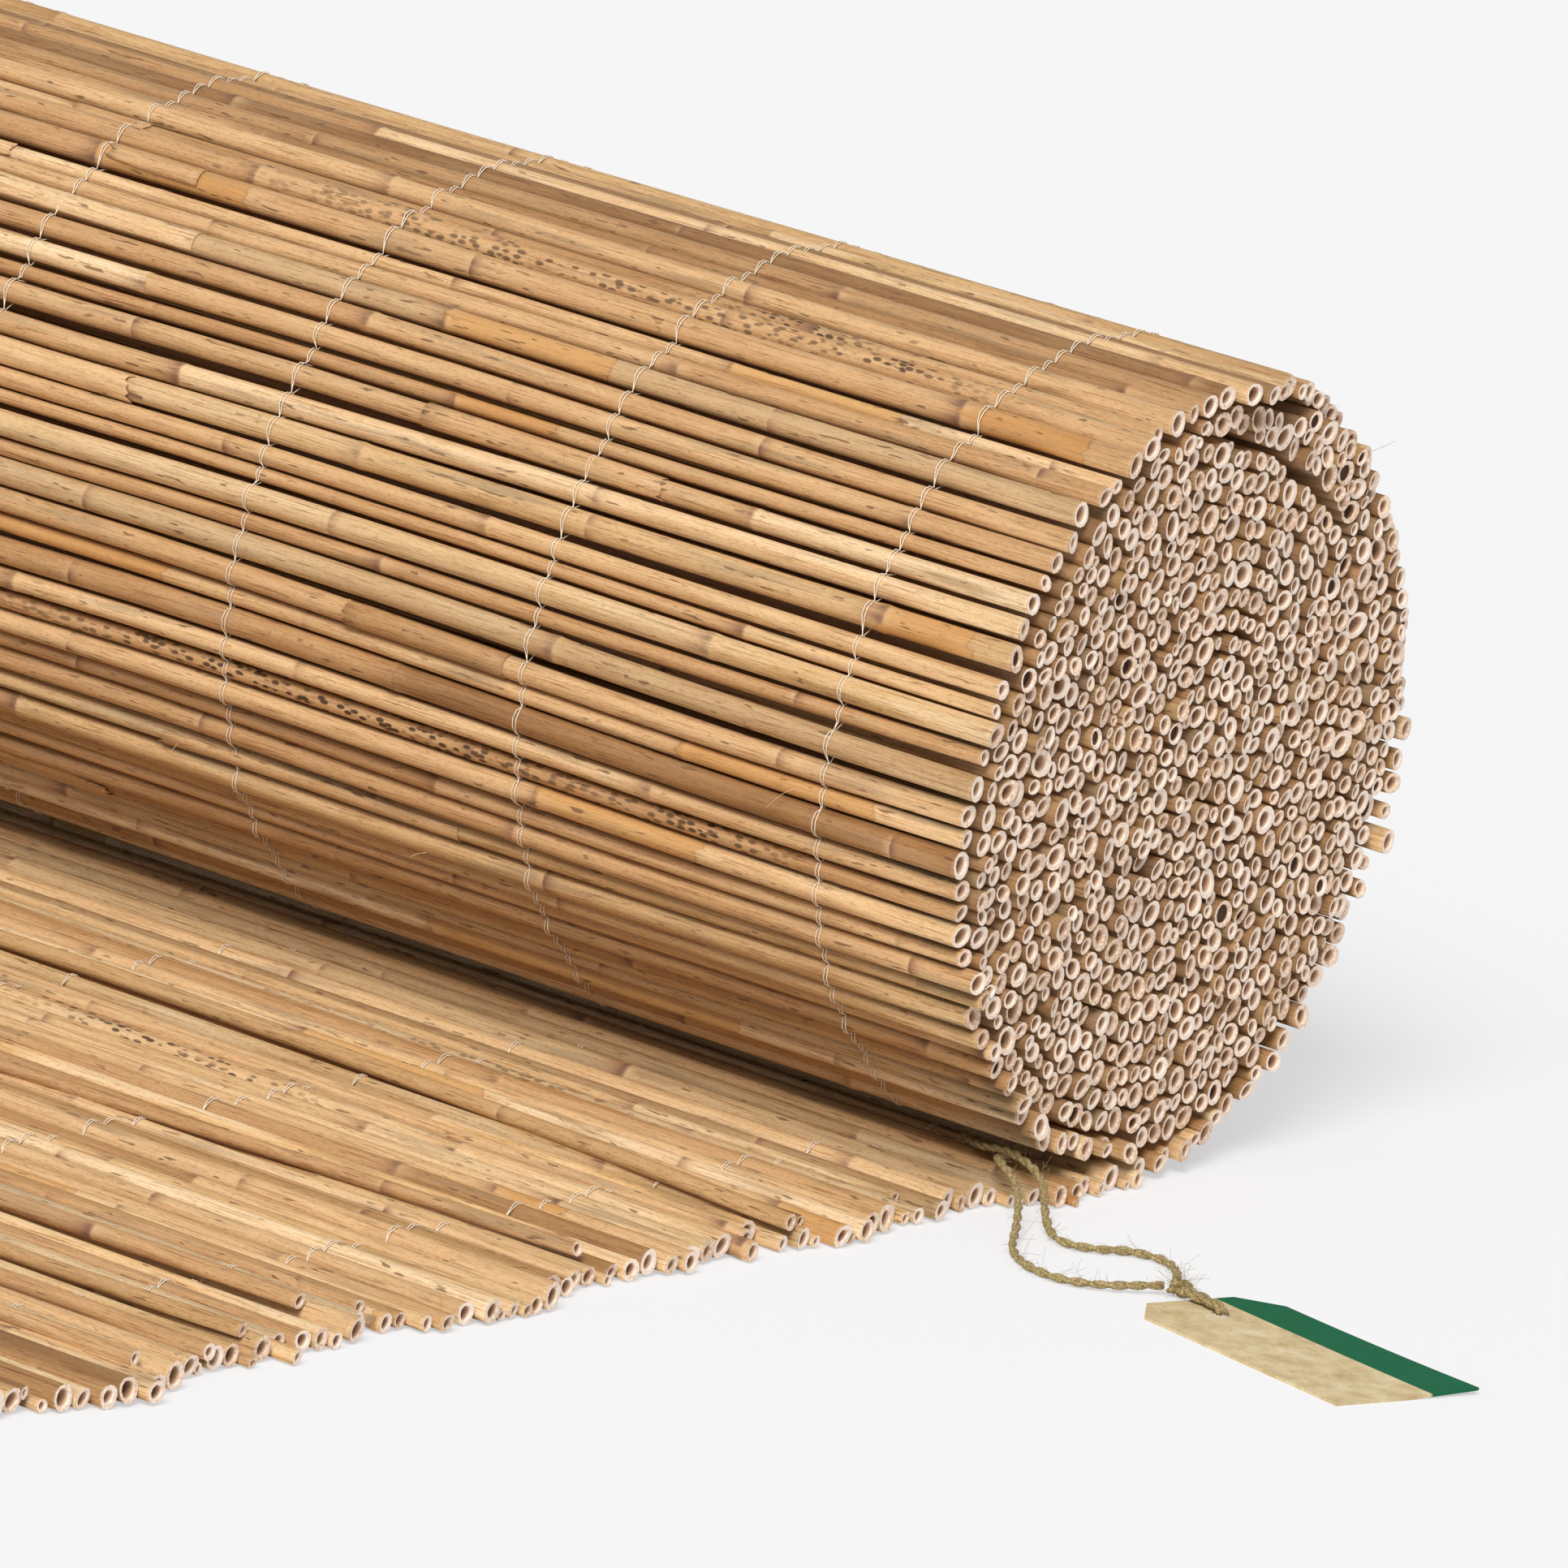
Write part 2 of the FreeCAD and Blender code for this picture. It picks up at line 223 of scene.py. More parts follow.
skin = add_node(tree, "Mix", {
    "Factor": scraps.outputs[0], 6: skin.outputs[2], 7: paint("#6A482A")}, **BLEND)
worn = add_node(tree, "MapRange", {"Value": broad.outputs["Fac"], 1: 0.55, 2: 0.7, 4: 0.65})
worn = add_node(tree, "Math", {0: worn.outputs[0], 1: covered.outputs[0]},
                operation="MULTIPLY")
skin = add_node(tree, "Mix", {
    "Factor": worn.outputs[0], 6: skin.outputs[2], 7: paint("#8F7352")}, **BLEND)
# node: 12 mm either side of the ring, drawn as one ramp with its strength in alpha
span = add_node(tree, "MapRange", {"Value": ring, 1: -12.0, 2: 12.0})
band = add_node(tree, "ValToRGB", {"Fac": span.outputs[0]}, stops=(
    (0.05, paint("#AC7E52", 0.0)), (0.25, paint("#A87850", 0.3)), (0.4, paint("#94684A", 0.7)),
    (0.475, paint("#7C5640", 0.9)), (0.52, paint("#7C5640", 0.8)), (0.56, paint("#DDB384", 0.5)),
    (0.64, paint("#E2BC8C", 0.25)), (0.8, paint("#E0B884", 0.0))))
stain = add_node(tree, "MapRange",
                 {"Value": broad.outputs["Fac"], 1: 0.38, 2: 0.62, 3: 0.1, 4: 1.0})
stain = add_node(tree, "Math", {0: stain.outputs[0], 1: band.outputs["Alpha"]},
                 operation="MULTIPLY")
skin = add_node(tree, "Mix", {
    "Factor": stain.outputs[0], 6: skin.outputs[2], 7: band.outputs[0]}, **BLEND)
# mould specks of 1 to 3 mm, in rows along the stalk
dots = add_node(tree, "Mapping", {"Vector": place, "Scale": (280, 600, 600)})
dots = add_node(tree, "TexVoronoi", {"Vector": dots.outputs[0], "Scale": 1.0})
dots = add_node(tree, "MapRange", {"Value": dots.outputs["Distance"], 1: 0.46, 2: 0.32})
here = add_node(tree, "MapRange", {"Value": broad.outputs["Fac"], 1: 0.34, 2: 0.44})
dots = add_node(tree, "Math", {0: dots.outputs[0], 1: here.outputs[0]}, operation="MULTIPLY")
dots = add_node(tree, "Math", {0: dots.outputs[0], 1: specks}, operation="MULTIPLY")
skin = add_node(tree, "Mix", {
    "Factor": dots.outputs[0], 6: skin.outputs[2], 7: paint("#4E3620")}, **BLEND)
tree.links.new(skin.outputs[2], shader.inputs["Base Color"])
gloss = add_node(tree, "MapRange", {"Value": is_bare.outputs[0], 3: 0.5, 4: 0.3})
tree.links.new(gloss.outputs[0], shader.inputs["Roughness"])
height = add_node(tree, "Math", {0: fine.outputs["Fac"], 1: grit.outputs["Fac"]})
relief = add_node(tree, "Bump",
                  {"Strength": 0.5, "Distance": 0.2 * MM, "Height": height.outputs[0]})
tree.links.new(relief.outputs[0], shader.inputs["Normal"])
shader.inputs["IOR"].default_value = 1.5

# Cut edge of the reed: the sawn cellulose wall, matt, pale and slightly pink, no two alike.
reed_cut, tree, shader = new_material("reed_cut_pale_fibre")
place = add_node(tree, "TexCoord").outputs["Object"]
seed = add_node(tree, "Attribute", attribute_name="seed").outputs["Fac"]
grain = add_node(tree, "TexNoise", {"Vector": place, "Scale": 1100.0, "Detail": 2.0})
mixed = add_node(tree, "Math", {0: seed, 1: 0.35, 2: -0.2}, operation="MULTIPLY_ADD")
mixed = add_node(tree, "Math", {0: mixed.outputs[0], 1: grain.outputs["Fac"]})
pale = add_node(tree, "ValToRGB", {"Fac": mixed.outputs[0]}, stops=(
    (0.15, paint("#CFA98A")), (0.36, paint("#F0D3B9")), (0.54, paint("#FDEAD9"))))
tree.links.new(pale.outputs[0], shader.inputs["Base Color"])
shader.inputs["Roughness"].default_value = 0.75
relief = add_node(tree, "Bump",
                  {"Strength": 0.5, "Distance": 0.3 * MM, "Height": grain.outputs["Fac"]})
tree.links.new(relief.outputs[0], shader.inputs["Normal"])

# Inside of the reed: soft papery pith, cream at the mouth, with painted shade that darkens it to deep brown
# towards the bottom of the bore.
reed_pith, tree, shader = new_material("reed_pith_painted_depth_shade")
depth = add_node(tree, "Attribute", attribute_name="depth").outputs["Fac"]
cream = add_node(tree, "ValToRGB", {"Fac": depth}, stops=(
    (0.0, paint("#E9CBAE")), (0.1, paint("#C09876")), (0.35, paint("#855F42")), (1.0, paint("#472E20"))))
tree.links.new(cream.outputs[0], shader.inputs["Base Color"])
shader.inputs["Roughness"].default_value = 0.85
REED_MATERIALS = [reed_skin, reed_cut, reed_pith]
# a distance in mm at which a node or a bare length no longer marks the skin
FAR_OFF = 30.0


def reed_pieces(name, x, y, z, radius, tone, specks=None, nodes=None, bare=None):
    """Hollow stalks. Each is a row of rings from the bottom of its far bore, out over the far
    rim, along its skin and into its near bore. Ring radius is r (1 + a cos 2t + b cos 3t) over
    (1 + a + b), so it stays within r, which swells by 7 percent at a node. The bore is one to
    three diameters deep, or nearly plugged."""
    bodies = len(x)
    nodes = np.full_like(x, FAR_OFF) if nodes is None else nodes
    bare = np.full_like(x, FAR_OFF) if bare is None else bare
    specks = np.zeros_like(x) if specks is None else specks
    radius = radius * (1 + 0.07 * np.exp(-(nodes / 1.7) ** 2))
    share = 1 - 2 * draw.uniform(0.15, 0.24, (bodies, 1))
    depth = draw.uniform(6, 14, (bodies, 1)) * MM
    depth = np.where(draw.random((bodies, 1)) < 0.05, draw.uniform(0.9, 2.5, (bodies, 1)) * MM, depth)
    flare = 0.6 * MM
    first, last = x[:, :1], x[:, -1:]
    ring_x = np.hstack([first + depth, first + flare, first, x, last, last - flare, last - depth])
    ring_y = np.hstack([y[:, [0, 0, 0]], y, y[:, [-1, -1, -1]]])
    ring_z = np.hstack([z[:, [0, 0, 0]], z, z[:, [-1, -1, -1]]])
    bore = radius[:, [0, 0, 0, -1, -1, -1]] * share * np.array([1, 1, 1.12, 1.12, 1, 1])
    ring_r = np.hstack([bore[:, :3], radius, bore[:, 3:]])
    turn = 2 * np.pi * np.arange(REED_SIDES) / REED_SIDES
    oval = draw.uniform(0.01, 0.08, (bodies, 1, 1))
    lobe = draw.uniform(0.0, 0.04, (bodies, 1, 1))
    spin = draw.uniform(0, 2 * np.pi, (2, bodies, 1, 1))
    shape = 1 + oval * np.cos(2 * turn - spin[0]) + lobe * np.cos(3 * turn - spin[1])
    shape /= 1 + oval + lobe
    reach = ring_r[..., None] * shape
    across, up = reach * np.cos(turn), reach * np.sin(turn)
    slant = draw.normal(0, 0.09, (2, bodies, 1, 1))
    open_end = np.zeros((1, ring_x.shape[1], 1))
    open_end[0, [1, 2, 3, -4, -3, -2], 0] = 1
    along = ring_x[..., None] + open_end * (slant[0] * across + slant[1] * up)
    points = np.stack([along, ring_y[..., None] + across, ring_z[..., None] + up], -1)
    skins = x.shape[1] - 1
    # 1 at the bottom of each bore, where the pith's painted shade is darkest
    inside = np.zeros((1, ring_x.shape[1], 1))
    inside[0, [0, -1], 0] = 1
    marks = {"seed": draw.random((bodies, 1, 1)), "depth": inside}
    for key, values in (("tone", tone), ("specks", specks), ("node_mm", nodes), ("sheath_mm", bare)):
        marks[key] = np.hstack([values[:, [0, 0, 0]], values, values[:, [-1, -1, -1]]])[..., None]
    return rings_to_mesh(name, points, REED_MATERIALS, [2, 1, 1] + [0] * skins + [1, 1, 2], marks,
                         ring_flat=[False, False, True] + [False] * skins + [True, False, False])


def reed_widths(count, mean, spread, low, high):
    """Unordered reed diameters: a normal spread, cut off at the thinnest and thickest."""
    return np.clip(draw.normal(mean, spread, count), low, high) * MM


def stalk_ends(slide, spread):
    """Near and far end of each stalk. The near one stands out of the bundle by its slide, give
    or take a spread, both in mm, and the far one is a metre behind it, give or take 2 mm."""
    near = HALF + (slide + draw.normal(0, spread, len(slide))) * MM
    far = near - 2 * HALF + draw.normal(0, 2.0, len(slide)) * MM
    return near, np.clip(far, FAR_LIMIT, None)


def draw_nodes(far):
    """Nodes of each stalk, 19 to 40 cm apart, and the length past each that has lost its
    sheath, which is nil at nine nodes in ten."""
    rings = far[:, None] + np.cumsum(draw.uniform(190, 400, (len(far), 5)), axis=1) * MM
    rings -= draw.uniform(0, 190, (len(far), 1)) * MM
    bare = draw.uniform(15, 110, rings.shape) * MM * (draw.random(rings.shape) < 0.1)
    return rings, bare


def speck_patch(x, middle, half):
    """Strength of one patch of specks: full up to half its half length from its middle, and
    from there evenly down to nil."""
    return np.clip(1.5 - np.abs(x - middle) / half, 0, 1)


def speckled(x, share):
    """Strength of the mould specks at every station: a share of the stalks has them along
    6 to 20 cm."""
    middle, half = draw.uniform(-450, 450, (len(x), 1)) * MM, draw.uniform(30, 100, (len(x), 1)) * MM
    strength = draw.uniform(0.5, 1.0, (len(x), 1)) * (draw.random((len(x), 1)) < share)
    return strength * speck_patch(x, middle, half)


def stalk_stations(near, far, rings, bare, count):
    """Stations along each stalk: even ones, five round each of its nodes, and one within the
    bare length past it. Also, in mm, the signed distance to the nearest node and to the
    nearest bare length, and each internode's tone."""
    bodies = len(near)
    even = far[:, None] + (near - far)[:, None] * np.linspace(0, 1, count)
    steps = np.array([-3.0, -0.9, 0.0, 0.9, 4.0]) * MM
    close = (rings[..., None] + steps).reshape(bodies, -1)
    close = np.hstack([close, rings + bare / 2 + 2 * MM])
    close = np.clip(close, far[:, None] + 1 * MM, near[:, None] - 1 * MM)
    x = np.sort(np.hstack([even, close]), axis=1)
    apart = x[..., None] - rings[:, None, :]
    nearest = np.take_along_axis(apart, np.abs(apart).argmin(-1)[..., None], -1)[..., 0]
    outside = np.where(bare[:, None] > 0, np.maximum(-apart, apart - bare[:, None]), 1.0).min(-1)
    tones = draw.normal(0, 0.1, (bodies, 6))
    tones = np.take_along_axis(tones, (apart > 0).sum(-1), 1)
    return x, np.clip(nearest / MM, -40, 40), np.clip(outside / MM, -40, 40), tones


# Outer turn. One layer of reeds wound once round the roll, from the floor under its axis up
# the right side and down the left, each held between two threads. On the right it has sprung
# open, and its reeds there have slid along.
SEAT_RADIUS = 106.8 * MM
MAT_RADIUS = SEAT_RADIUS + 3.2 * MM
AXIS_HEIGHT = 114 * MM
HALF_PITCH = 3.6 * MM
FIRST_REED = 6.4 * MM
OFF_FLOOR = 0.1 * MM
LARGEST_RADIUS = 3.95 * MM


def round_the_roll(distance, radius, lift):
    """Place and angle of a reed at a distance along the turn. Two half circles, the second
    with its centre half a pitch higher and its radius half a pitch smaller. Angles go round
    from the bottom, by the right side, the top and the left."""
    first = np.pi * MAT_RADIUS
    second = distance > first
    angle = np.where(second, np.pi + (distance - first) / (MAT_RADIUS - HALF_PITCH),
                     distance / MAT_RADIUS)
    reach = SEAT_RADIUS + radius + lift - np.where(second, HALF_PITCH, 0)
    height = AXIS_HEIGHT + np.where(second, HALF_PITCH, 0) - reach * np.cos(angle)
    return reach * np.sin(angle), np.maximum(height, radius + OFF_FLOOR), angle


def mat_grid(width, gap, least, squeezed=None):
    """Radii and distances along the mat for reeds side by side, at every station of the grid.
    The gap between two opens and closes along them, and nowhere is under half the least one.
    A reed's distance is the sum of the radii and gaps before it, so none overlap; one that is
    squeezed up out of the row takes up less of it. Where the sum has got ahead of its mean the
    next gap closes, and where it lags it opens, so the stalks stay near straight."""
    count = len(width)
    taper = draw.uniform(0.04, 0.2, (count, 1)) * np.where(draw.random((count, 1)) < 0.5, 1, -1)
    radius = np.minimum(width[:, None] / 2 * (1 + taper * GRID / (2 * HALF)), LARGEST_RADIUS)
    wander = waves(count, (1500, 900, 560))
    gaps = MM * (least + 4.5 * gap * np.clip(wander - 0.18, 0, 1))
    taken = radius if squeezed is None else np.where(squeezed[:, None], 0.35 * radius, radius)
    distance = np.zeros_like(radius)
    for i in range(1, count):
        packed = distance[i - 1] + taken[i - 1] + taken[i]
        distance[i] = packed + np.maximum(gaps[i] - 0.3 * (packed - packed.mean()), 0.5 * MM * least[i])
    return radius, distance


# more reeds than the turn takes, looser at the right side and more uneven over the top
drawn = 130
at_right, over_top = slice(12, 34), slice(50, 74)
MEAN_WIDTH, THINNEST, THICKEST = 6.3, 4.2, 7.8
turn_length = np.pi * (2 * MAT_RADIUS - HALF_PITCH)
gap = np.full((drawn, 1), 0.6)
gap[at_right, 0] += 1.2 * np.sin(np.linspace(0, np.pi, 22))
least = np.full((drawn, 1), 0.09)
least[over_top, 0] += 0.45 * np.sin(np.linspace(0, np.pi, 24))
width = reed_widths(drawn, MEAN_WIDTH, 0.95, THINNEST, THICKEST)
uneven = MEAN_WIDTH * MM + 1.25 * (width[over_top] - MEAN_WIDTH * MM)
width[over_top] = np.clip(uneven, THINNEST * MM, THICKEST * MM)
radius, distance = mat_grid(width, gap, least)
keep = distance[:, MIDDLE] < turn_length - 8 * MM
radius, distance = radius[keep], distance[keep]
distance = FIRST_REED + distance * (turn_length - 10.5 * MM) / distance[-1]
count = len(radius)
# they lie less tight down the left side
lift = 0.3 * MM * (1 + waves(count, (1100, 640)))
lift *= 1 + 2.2 * np.clip(-np.sin(distance / MAT_RADIUS), 0, 1)
turn_y, turn_z, turn_angle = round_the_roll(distance, radius, lift)
turn_radius = radius
angle = np.degrees(turn_angle[:, SEEN_END])
# how far the ends stand out of the roll, in mm, by the angle round it
slide = np.interp(angle, (0, 50, 95, 103, 116, 124, 144, 158, 172, 181, 188, 207, 300, 360),
                  (-1, -4, -5, -8, -9, -12, -13, -10, -3, 6, 0, -4, -3, -1))
near, far = stalk_ends(slide, 1.3)
rings, stripped = draw_nodes(far)
# nodes in plain sight: angle round the roll, place along it and bare length past it, in mm
for seen_angle, seen_x, length in (
        (225, 284, 57), (241, 338, 64), (241, 404, 0), (277, 403, 64), (276, 160, 66), (215, 147, 54),
        (217, 370, 58), (248, 455, 29), (235.5, 299, 36), (232, 190, 0), (198, 182, 0), (204, 129, 0),
        (261, 296, 0), (252, 326, 0), (271, 329, 0), (259.5, 406, 0)):
    station = np.abs(GRID - seen_x * MM).argmin()
    reed = np.abs(np.degrees(turn_angle[:, station]) - seen_angle).argmin()
    spot = np.abs(rings[reed] - seen_x * MM).argmin()
    rings[reed, spot], stripped[reed, spot] = seen_x * MM, length * MM
x, nodes, bare, tones = stalk_stations(near, far, rings, stripped, 26)
MEAN_TONE = 0.56
tone = np.clip(draw.normal(MEAN_TONE, 0.18, (count, 1)) + tones, 0.02, 0.98)
# over the top the stalks are more weathered, and less alike
weathered = np.exp(-((angle[:, None] - 188) / 32) ** 2)
tone = np.clip(tone + weathered * (0.7 * (tone - MEAN_TONE) - 0.15), 0.02, 0.98)
specks = speckled(x, 0.05)
# patches of specks in plain sight: angle, middle and half length
for seen_angle, middle, half in ((286, 281, 95), (285, 419, 12), (207, 378, 20), (211, 407, 20)):
    reed = np.abs(angle - seen_angle).argmin()
    specks[reed] = np.maximum(specks[reed], speck_patch(x[reed], middle * MM, half * MM))
outer_turn = reed_pieces("outer_turn_stalks", x, at(turn_y, x), at(turn_z, x),
                         at(turn_radius, x), tone, specks, nodes, bare)
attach(outer_turn, "root")
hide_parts("outer_turn_reeds")

# Tail. The loose end of the mat, laid flat on the floor from under the roll's axis, more
# crowded and weathered than the turn above, with some reeds lying on top of others.
TAIL_LENGTH = 596 * MM
drawn = 150
width = reed_widths(drawn, 5.9, 1.5, 3.2, 8.6)
squeezed = (width < 5.6 * MM) & (draw.random(drawn) < 0.55)
squeezed[:16] = False
squeezed[1:] &= ~squeezed[:-1]
radius, distance = mat_grid(width, 0.5, np.full((drawn, 1), 0.08), squeezed)
keep = distance[:, MIDDLE] < TAIL_LENGTH - 2 * MM
radius, distance, squeezed = radius[keep], distance[keep], squeezed[keep]
squeezed[-2:] = False
distance *= TAIL_LENGTH / distance[-1].max()
count = len(radius)
on_top = squeezed & (draw.random(count) < 0.45)
tail_radius = radius
wander = waves(count, (2100, 1200, 640))
tail_y = -distance + np.where(on_top[:, None], 13 * MM * wander, 0)
raised = np.where(squeezed[:, None], 3.4 * MM * (1 + 0.3 * wander), 0.25 * MM * (1 + wander))
raised = np.where(on_top[:, None], 5.6 * MM + 0.8 * MM * wander, raised)
# none is raised under the roll
tail_z = radius + raised * np.clip((distance - 70 * MM) / (40 * MM), 0, 1)
# how far the ends stand out of the mat's edge, in mm, by the distance from the roll
reach = distance[:, SEEN_END]
slide = np.interp(reach / MM, (0, 60, 130, 200, 300, 400, 520, 600), (1, 0, -4, -6, -4, -4, 0, 2))
slide += 5 * np.sin(reach / (17 * MM)) * np.sin(reach / (61 * MM))
slide -= np.where(squeezed, draw.uniform(0, 14, count), 0)
near, far = stalk_ends(slide, 2.2)
rings, stripped = draw_nodes(far)
x, nodes, bare, tones = stalk_stations(near, far, rings, stripped, 26)
tone = np.clip(draw.normal(0.61, 0.22, (count, 1)) + tones, 0.0, 0.98)
specks = speckled(x, 0.22)
tail = reed_pieces("tail_stalks", x, at(tail_y, x), at(tail_z, x), at(tail_radius, x), tone,
                   specks, nodes, bare)
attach(tail, "root")
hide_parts("tail_reeds")

# Inner turns. The rest of the mat, wound up under the outer turn, of which only the ends
# show. The reeds have settled among each other, so the turns blur towards the middle.
# A spiral of even pitch: at distance s along it from its outer end, its reach squared is
# the outer reach squared less pitch times s / pi.
SETTLED_PITCH = 6.35 * MM
OUTER_REACH = 103.4 * MM
EYE_REACH = 4 * MM
CLEAR = 0.05 * MM
SLIT_RADIUS = 1.1 * MM
width = reed_widths(1000, 6.2, 1.15, 3.3, 8.6)
gone = np.cumsum(width + CLEAR)
reach = np.sqrt(np.clip(OUTER_REACH ** 2 - SETTLED_PITCH * gone / np.pi, 0, None))
keep = reach > EYE_REACH
reach, inner_radius = reach[keep], width[keep] / 2
angle = 2 * np.pi * (OUTER_REACH - reach) / SETTLED_PITCH
inner_y = reach * np.sin(angle)
inner_z = AXIS_HEIGHT + HALF_PITCH / 2 - reach * np.cos(angle)
# two dark slits between turns: angles, distances from the axis in mm, and the number of
# fixed circles that hold the slit open
slits = [((184, 178, 171, 166), (107, 105, 103, 103.5), 12),
         ((192, 178, 163, 146, 136), (100, 94, 89.5, 88, 87.5), 40)]
fixed_y, fixed_z = [], []
for turns, reaches, number in slits:
    round_it = np.linspace(turns[0], turns[-1], number)
    reach = np.interp(round_it, turns[::-1], reaches[::-1]) * MM
    fixed_y.extend(reach * np.sin(np.radians(round_it)))
    fixed_z.extend(AXIS_HEIGHT - reach * np.cos(np.radians(round_it)))


def settle(y, z, radius, fixed_y, fixed_z, rounds):
    """Pushes overlapping circles apart, and back inside the outer turn, a little each round.
    The fixed circles stay where they are."""
    all_radius = np.concatenate([radius, np.full(len(fixed_y), SLIT_RADIUS)]).astype(np.float32)
    free = len(y)
    y = np.concatenate([y, fixed_y]).astype(np.float32)
    z = np.concatenate([z, fixed_z]).astype(np.float32)
    room = all_radius[:, None] + all_radius + np.float32(CLEAR)
    for _ in range(rounds):
        across, up = y[:, None] - y, z[:, None] - z
        apart = np.sqrt(across ** 2 + up ** 2) + np.float32(1e-9)
        push = np.clip(room - apart, 0, None) / apart * np.float32(0.3)
        y[:free] += (push * across).sum(1)[:free]
        z[:free] += (push * up).sum(1)[:free]
        left = y[:free] < 0
        middle = np.where(left, AXIS_HEIGHT + HALF_PITCH, AXIS_HEIGHT)
        limit = SEAT_RADIUS - np.where(left, HALF_PITCH, 0) - radius
        out = np.hypot(y[:free], z[:free] - middle)
        inward = np.minimum(1, limit / out)
        y[:free] *= inward
        z[:free] = middle + (z[:free] - middle) * inward
    return y[:free].astype(float), z[:free].astype(float)


inner_y, inner_z = settle(inner_y, inner_z, inner_radius, fixed_y, fixed_z, 220)
count = len(inner_y)
ripple = 1.0 * np.sin(inner_y / (17 * MM) + 1) * np.sin((inner_z - AXIS_HEIGHT) / (21 * MM))
near = HALF + (-3.5 + 0.7 * ripple + draw.normal(0, 0.7, count)) * MM
far = -HALF + draw.normal(0, 2.2, count) * MM
x = np.column_stack([far, near])
pair = np.ones((1, 2))
# the inner stalks take the darkest straw tones: painted shade on their sides, which show only in the gaps
# between their ends
tone = np.clip(draw.normal(0.05, 0.12, (count, 1)), 0, 1) * pair
inner_turns = reed_pieces("inner_turn_stalks", x, inner_y[:, None] * pair, inner_z[:, None] * pair,
                          inner_radius[:, None] * pair, tone)
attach(inner_turns, "root")
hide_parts("roll_core")

# Binding threads. Clear nylon filament in rows 10 cm apart: two strands over each reed and
# one under it, twisted round each other in every gap between two reeds. Against the reeds it
# shows as a thin pale line that glints.
THREAD_RADIUS = 0.18 * MM
THREAD_LEAN = 0.55 * MM
ROWS = np.arange(-450, 451, 100) * MM
nylon, tree, shader = new_material("nylon_monofilament_clear")
shader.inputs["Base Color"].default_value = paint("#F9E9D0")
shader.inputs["Roughness"].default_value = 0.15
shader.inputs["IOR"].default_value = 1.53
shader.inputs["Transmission Weight"].default_value = 0.05


def tube_rings(line, radius, sides, across=(1.0, 0.0, 0.0)):
    """Rings of a tube round each line: bodies x points x sides x 3. Each is its point plus
    radius times (first cos t + second sin t), both at right angles to the line, which is
    nowhere parallel to the direction across."""
    ahead = np.gradient(line, axis=1)
    ahead /= np.linalg.norm(ahead, axis=-1, keepdims=True) + 1e-12
    first = np.cross(ahead, across)
    first /= np.linalg.norm(first, axis=-1, keepdims=True) + 1e-12
    second = np.cross(ahead, first)
    turn = 2 * np.pi * np.arange(sides) / sides
    return line[:, :, None] + radius * (np.cos(turn)[:, None] * first[:, :, None]
                                        + np.sin(turn)[:, None] * second[:, :, None])


def thread_rows(name, y, z, radius, out_y, out_z, sunk):
    """Three strands of every row. Over reed i the upper two run at radius r + t and cross from
    one side of the row to the other; the lower one runs under it. In the gap between two reeds
    all come to the middle. Where a reed is marked sunk, the upper strands pass under it too."""
    tubes = []
    swap = np.where(np.arange(len(y)) % 2, 1.0, -1.0)[:, None, None]
    steps = np.radians(np.array([-90.0, -50.0, -17.0, 17.0, 50.0]))
    middle = np.abs(steps) > 1.5
    reach = (radius + THREAD_RADIUS)[..., None] * np.where(middle, 0.9, 1.0)
    for lean, over in ((THREAD_LEAN, True), (-THREAD_LEAN, True), (0.0, False)):
        side = np.where(sunk[:, None, None], -1.0, 1.0) if over else -1.0
        out = reach * np.where(middle, 0.3 if over else 0.1, side * np.cos(steps))
        along = reach * np.sin(steps)
        line_y = y[..., None] + out * out_y[..., None] - along * out_z[..., None]
        line_z = z[..., None] + out * out_z[..., None] + along * out_y[..., None]
        line_z = np.maximum(line_z, THREAD_RADIUS)
        bow = np.array([0.15, 0.9, 1.0, 0.9, 0.5])
        line_x = ROWS[None, :, None] + lean * swap * bow + 0 * line_y
        line = np.stack([line_x, line_y, line_z], -1)
        tubes.append(line.transpose(1, 0, 2, 3).reshape(len(ROWS), -1, 3))
    points = tube_rings(np.vstack(tubes), THREAD_RADIUS, 4)
    made = rings_to_mesh(name, points, [nylon], [0] * (points.shape[1] - 1), {})
    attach(made, "root")
    return made


rows_here = np.broadcast_to(ROWS, (len(turn_y), len(ROWS)))
y, z, radius = (at(values, rows_here) for values in (turn_y, turn_z, turn_radius))
angle = at(turn_angle, rows_here)
roll_threads = thread_rows("threads_on_roll", y, z, radius, np.sin(angle), -np.cos(angle),
                           np.zeros(len(y), bool))
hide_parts("binding_threads")
rows_here = np.broadcast_to(ROWS, (len(tail_y), len(ROWS)))
y, z, radius = (at(values, rows_here)[~squeezed] for values in (tail_y, tail_z, tail_radius))
thread_rows("threads_on_tail", y, z, radius, 0 * y, 1 + 0 * y, draw.random(len(y)) < 0.5)

# Loose sheath and fibres. Dry leaf sheath that has let go of its stalk, as shells 0.12 mm
# thick that wrap it and end in a torn edge, and thin fibres that stand up from the mat.
SHEATH_THICKNESS = 0.12 * MM


